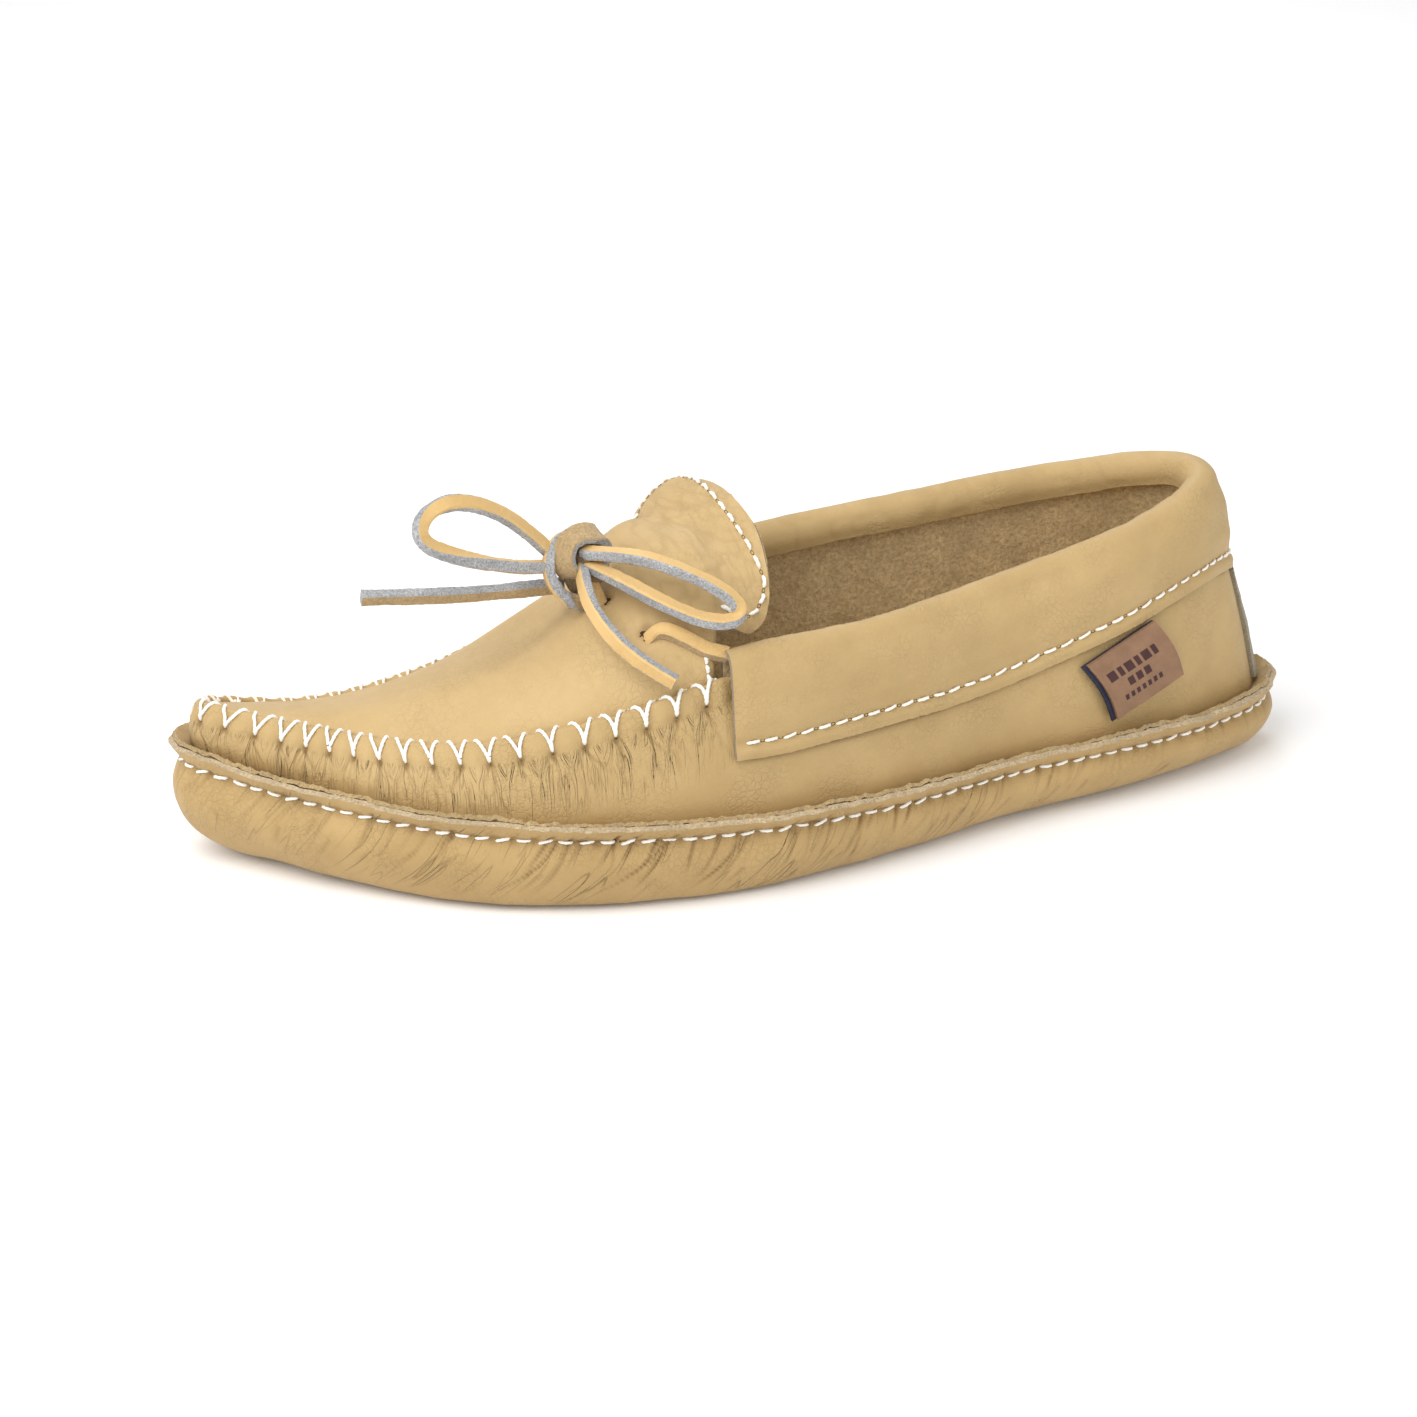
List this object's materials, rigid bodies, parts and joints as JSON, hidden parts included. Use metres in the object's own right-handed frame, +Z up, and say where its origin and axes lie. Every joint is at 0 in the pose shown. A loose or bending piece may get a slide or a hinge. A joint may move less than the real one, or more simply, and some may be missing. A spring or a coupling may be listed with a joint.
{
  "type": "moccasin",
  "caption": "Soft-soled leather moccasin for the left foot, with a puckered toe seam, rolled collar, arched tongue, side label and a laced bow.",
  "frame": {"origin": "on the ground under the middle of the sole's length, on the line through the middle of the heel", "axes": "+X to the toe, +Y to the wearer's left (the outer side of this left shoe), +Z up"},
  "size_m": [0.2895, 0.1067, 0.0971],
  "materials": {
    "outsole_leather": "smooth tan deer-grain leather, soft sheen",
    "upper_leather": "smooth yellow-tan leather, soft sheen",
    "suede": "brushed flesh side, matt",
    "foam": "open-cell foam, matt",
    "lining": "pale raw suede, matt",
    "strip_suede": "greyish olive suede, matt",
    "lace": "rawhide thong, tan grain face and pale grey cut sides",
    "thread": "thick waxed off-white thread",
    "label_face": "brown embossed label face, satin",
    "label_backing": "dark navy woven backing, matt"
  },
  "bodies": {
    "shoe": {"outsole": "outsole_leather", "midsole_foam": "foam", "inner_sole": "suede", "upper_wall": "upper_leather", "plug": "upper_leather", "collar": "upper_leather", "heel_seam_strip": "strip_suede", "lace_collar_run": "lace", "lace_left_run": "lace", "lace_right_run": "lace", "bow_knot": "lace", "bow_loop_left": "lace", "bow_loop_right": "lace", "bow_tail_left": "lace", "bow_tail_right": "lace", "thread_sole_seam": "thread", "thread_plug_seam": "thread", "thread_collar": "thread", "thread_corner_tacks": "thread"},
    "tongue_flap": {"tongue": "upper_leather", "tongue_lining": "lining", "thread_tongue": "thread"},
    "label_tab": {"label_face": "label_face", "label_backing": "label_backing"}
  },
  "joints": [
    {"name": "tongue_lift", "type": "hinge", "parent": "shoe", "child": "tongue_flap", "pos_m": [0.02573, 0, 0.0788], "axis": [0, 1, 0], "range_deg": [0, 25], "stiffness_Nm_per_rad": 0.01},
    {"name": "label_flap", "type": "hinge", "parent": "shoe", "child": "label_tab", "pos_m": [-0.08427, 0.02895, 0.04166], "axis": [0.921, 0.118, -0.3712], "range_deg": [0, 75], "stiffness_Nm_per_rad": 0.001}
  ]
}
